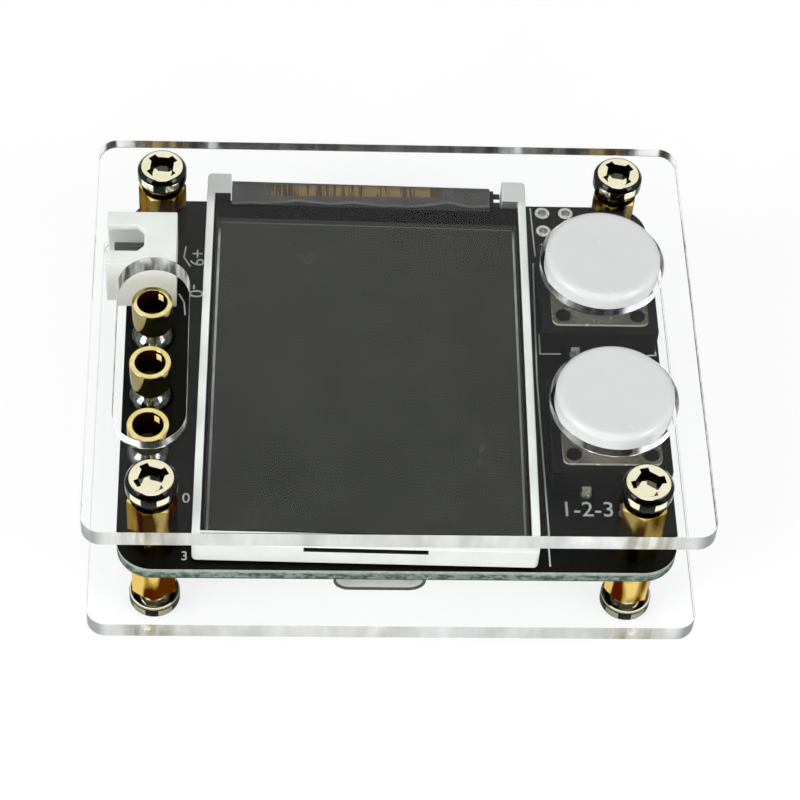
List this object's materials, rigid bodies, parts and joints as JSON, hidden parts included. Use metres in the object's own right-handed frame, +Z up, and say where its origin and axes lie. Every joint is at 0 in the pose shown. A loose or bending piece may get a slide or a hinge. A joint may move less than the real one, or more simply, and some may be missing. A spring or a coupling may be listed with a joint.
{
  "type": "component tester",
  "caption": "Bench tester for electronic components: a circuit board with a colour display, gold test sockets and two push buttons between two clear plates on brass standoffs.",
  "frame": {"origin": "centre of the footprint, on the surface that the four lower screw heads stand on", "axes": "+X to the right of the display (longest side), +Y away from the user, +Z up"},
  "size_m": [0.0612, 0.0504, 0.0217],
  "materials": {
    "clear_plate": "clear polished acrylic",
    "circuit_board": "satin black solder mask",
    "gilt_screw": "polished pale plating",
    "brass_post": "turned brass",
    "foam_tape": "foam",
    "display_frame": "satin white",
    "light_guide": "white diffuse",
    "led": "clear resin",
    "display_glass": "polished glass over dark film",
    "polarizer": "dark semi-gloss film",
    "flex": "polyimide with copper traces",
    "gilt_socket": "gold plated",
    "solder": "bright solder",
    "socket_plastic": "natural white nylon",
    "tinned_pin": "tinned",
    "switch_plastic": "black moulded",
    "switch_cover": "rolled steel",
    "button_cap": "satin pale grey",
    "usb_shell": "stamped steel",
    "chip_epoxy": "moulded epoxy",
    "crystal_can": "drawn can",
    "resistor": "glazed film",
    "capacitor": "fired ceramic"
  },
  "bodies": {
    "case": {"bottom_plate": "clear_plate", "top_plate": "clear_plate", "circuit_board": "circuit_board", "bottom_screws": "gilt_screw", "top_screws": "gilt_screw", "lower_standoffs": "brass_post", "upper_standoffs": "brass_post", "lcd_tape": "foam_tape", "lcd_frame": "display_frame", "lcd_light_guide": "light_guide", "lcd_backlight_leds": "led", "lcd_rear_glass": "display_glass", "lcd_front_glass": "display_glass", "lcd_polarizer": "polarizer", "lcd_flex": "flex", "test_socket_1": "gilt_socket", "test_socket_2": "gilt_socket", "test_socket_3": "gilt_socket", "test_socket_solder": "solder", "battery_socket_housing": "socket_plastic", "battery_socket_pins": "tinned_pin", "usb_shell": "usb_shell", "usb_tongue": "switch_plastic", "microcontroller": "chip_epoxy", "microcontroller_legs": "tinned_pin", "crystal": "crystal_can", "regulator": "chip_epoxy", "regulator_legs": "tinned_pin", "voltage_reference": "chip_epoxy", "transistors": "chip_epoxy", "transistor_legs": "tinned_pin", "resistors": "resistor", "capacitors": "capacitor", "chip_end_caps": "solder", "solder_joints": "solder", "back_switch_base": "switch_plastic", "back_switch_cover": "switch_cover", "back_switch_legs": "tinned_pin", "back_switch_dome": "tinned_pin", "front_switch_base": "switch_plastic", "front_switch_cover": "switch_cover", "front_switch_legs": "tinned_pin", "front_switch_dome": "tinned_pin"},
    "back_button": {"back_button_cap": "button_cap", "back_switch_plunger": "switch_plastic"},
    "front_button": {"front_button_cap": "button_cap", "front_switch_plunger": "switch_plastic"}
  },
  "joints": [
    {"name": "back_button_press", "type": "slide", "parent": "case", "child": "back_button", "axis": [0, 0, -1], "range_m": [0, 0.0003], "stiffness_N_per_m": 2500, "springref_m": -0.0003, "deforming": ["back_switch_dome"]},
    {"name": "front_button_press", "type": "slide", "parent": "case", "child": "front_button", "axis": [0, 0, -1], "range_m": [0, 0.0003], "stiffness_N_per_m": 2500, "springref_m": -0.0003, "deforming": ["front_switch_dome"]}
  ]
}
